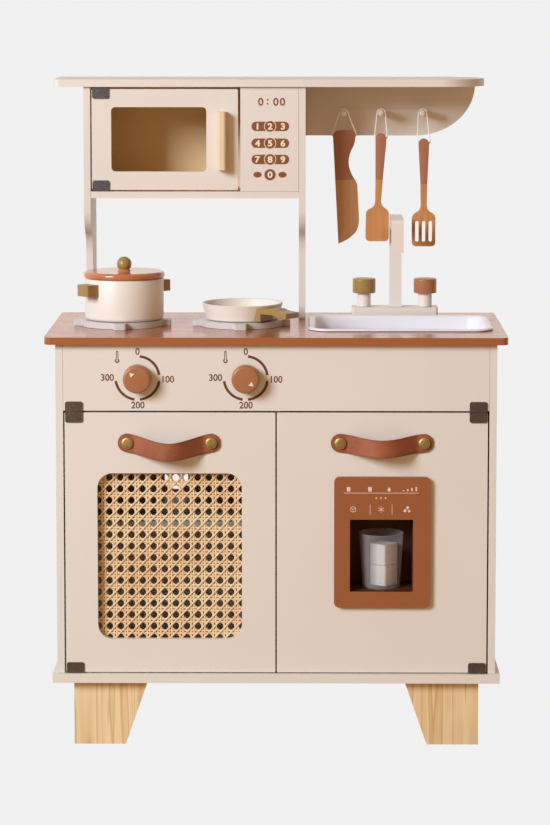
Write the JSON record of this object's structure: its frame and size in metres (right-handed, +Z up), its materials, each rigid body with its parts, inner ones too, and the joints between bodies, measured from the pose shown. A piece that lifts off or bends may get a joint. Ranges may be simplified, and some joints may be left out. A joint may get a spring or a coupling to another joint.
{
  "type": "toy kitchen",
  "caption": "Child-size play kitchen: cabinet on tapered feet with oven and ice-dispenser doors, hob, sink and tap, raised shelf with microwave box and hanging utensils.",
  "frame": {"origin": "centre of the whole object's footprint box, on the floor", "axes": "+Z up; the doors face -Y; +X is to the right when facing the doors"},
  "size_m": [0.6, 0.3176, 0.867],
  "materials": {
    "cream_paint": "satin cream paint on board",
    "counter_terracotta": "glossy terracotta worktop",
    "terracotta_paint": "semi-gloss terracotta paint",
    "dispenser_plastic": "terracotta moulded plastic",
    "pine": "clear-coated pine",
    "peg_wood": "pale bare wood",
    "hinge_metal": "dark bronzed steel plate",
    "cane": "woven natural cane",
    "leather": "tan leather",
    "olive_paint": "satin olive mustard paint",
    "burner_grey": "satin light grey paint",
    "sink_plastic": "glossy white plastic",
    "clear_plastic": "clear smoky plastic",
    "ice_plastic": "pearly grey plastic",
    "beech": "oiled beech with a painted handle",
    "cord": "off-white cotton cord",
    "rail_wood": "clear-coated wood"
  },
  "bodies": {
    "cabinet": {"side_panel_left": "cream_paint", "side_panel_right": "cream_paint", "bottom_board": "cream_paint", "countertop": "counter_terracotta", "back_panel": "cream_paint", "fascia_panel": "cream_paint", "centre_divider": "cream_paint", "oven_shelf": "cream_paint", "foot_front_left": "pine", "foot_front_right": "pine", "foot_rear_left": "pine", "foot_rear_right": "pine", "hutch_side_left": "cream_paint", "hutch_side_right": "cream_paint", "top_shelf": "cream_paint", "microwave_floor": "cream_paint", "hutch_back": "cream_paint", "microwave_control_panel": "cream_paint", "peg_left": "peg_wood", "peg_middle": "peg_wood", "peg_right": "peg_wood", "burner_left": "burner_grey", "burner_right": "burner_grey", "sink_basin": "sink_plastic", "faucet_base": "cream_paint", "faucet_spout": "cream_paint", "fascia_hinge_left": "hinge_metal", "fascia_hinge_right": "hinge_metal"},
    "microwave_door": {"microwave_door": "cream_paint", "microwave_handle": "rail_wood", "microwave_hinge_top": "hinge_metal", "microwave_hinge_bottom": "hinge_metal"},
    "oven_door": {"oven_door": "cream_paint", "cane_panel": "cane", "oven_hinge_top": "hinge_metal", "oven_hinge_bottom": "hinge_metal", "oven_strap": "leather"},
    "cold_door": {"cold_door": "cream_paint", "dispenser_housing": "dispenser_plastic", "cold_hinge_top": "hinge_metal", "cold_hinge_bottom": "hinge_metal", "cold_strap": "leather"},
    "cup": {"cup": "clear_plastic", "ice_block": "ice_plastic"},
    "stove_knob_left": {"stove_knob_left": "terracotta_paint"},
    "stove_knob_right": {"stove_knob_right": "terracotta_paint"},
    "tap_left": {"tap_left": "olive_paint"},
    "tap_right": {"tap_right": "terracotta_paint"},
    "pot": {"pot_body": "cream_paint", "pot_handle_left": "olive_paint", "pot_handle_right": "olive_paint"},
    "pot_lid": {"pot_lid": "terracotta_paint"},
    "pan": {"pan_body": "cream_paint", "pan_handle": "olive_paint"},
    "knife_loop": {"knife_cord": "cord"},
    "knife": {"knife": "beech"},
    "spatula_loop": {"spatula_cord": "cord"},
    "spatula": {"spatula": "beech"},
    "turner_loop": {"turner_cord": "cord"},
    "turner": {"turner": "beech"}
  },
  "joints": [
    {"name": "microwave_door_hinge", "type": "hinge", "parent": "cabinet", "child": "microwave_door", "pos_m": [-0.238, 0.04335, 0.786], "axis": [0, 0, -1], "range_deg": [0, 105]},
    {"name": "oven_door_hinge", "type": "hinge", "parent": "cabinet", "child": "oven_door", "pos_m": [-0.2635, -0.1264, 0.27], "axis": [0, 0, -1], "range_deg": [0, 105]},
    {"name": "cold_door_hinge", "type": "hinge", "parent": "cabinet", "child": "cold_door", "pos_m": [0.2635, -0.1264, 0.27], "axis": [0, 0, 1], "range_deg": [0, 105]},
    {"name": "stove_knob_left_turn", "type": "hinge", "parent": "cabinet", "child": "stove_knob_left", "pos_m": [-0.1796, -0.14115, 0.4863], "axis": [0, -1, 0], "continuous": true},
    {"name": "stove_knob_right_turn", "type": "hinge", "parent": "cabinet", "child": "stove_knob_right", "pos_m": [-0.0394, -0.14115, 0.4863], "axis": [0, -1, 0], "continuous": true},
    {"name": "tap_left_turn", "type": "hinge", "parent": "cabinet", "child": "tap_left", "pos_m": [0.1189, 0.12785, 0.57], "axis": [0, 0, 1], "continuous": true},
    {"name": "tap_right_turn", "type": "hinge", "parent": "cabinet", "child": "tap_right", "pos_m": [0.2028, 0.12785, 0.57], "axis": [0, 0, 1], "continuous": true},
    {"name": "pot_lift", "type": "slide", "parent": "cabinet", "child": "pot", "axis": [0, 0, 1], "range_m": [0, 0.04]},
    {"name": "lid_lift", "type": "slide", "parent": "pot", "child": "pot_lid", "axis": [0, 0, 1], "range_m": [0, 0.04]},
    {"name": "pan_lift", "type": "slide", "parent": "cabinet", "child": "pan", "axis": [0, 0, 1], "range_m": [0, 0.06]},
    {"name": "cup_slide", "type": "slide", "parent": "cold_door", "child": "cup", "axis": [0, -1, 0], "range_m": [0, 0.12]},
    {"name": "knife_off_peg", "type": "slide", "parent": "cabinet", "child": "knife_loop", "axis": [0, -1, 0], "range_m": [0, 0.05]},
    {"name": "knife_swing", "type": "hinge", "parent": "knife_loop", "child": "knife", "pos_m": [0.0908, 0.11385, 0.7862], "axis": [1, 0, 0], "range_deg": [-20, 20]},
    {"name": "spatula_off_peg", "type": "slide", "parent": "cabinet", "child": "spatula_loop", "axis": [0, -1, 0], "range_m": [0, 0.05]},
    {"name": "spatula_swing", "type": "hinge", "parent": "spatula_loop", "child": "spatula", "pos_m": [0.1409, 0.11385, 0.7834], "axis": [1, 0, 0], "range_deg": [-20, 20]},
    {"name": "turner_off_peg", "type": "slide", "parent": "cabinet", "child": "turner_loop", "axis": [0, -1, 0], "range_m": [0, 0.05]},
    {"name": "turner_swing", "type": "hinge", "parent": "turner_loop", "child": "turner", "pos_m": [0.1995, 0.11385, 0.7764], "axis": [1, 0, 0], "range_deg": [-20, 20]}
  ]
}
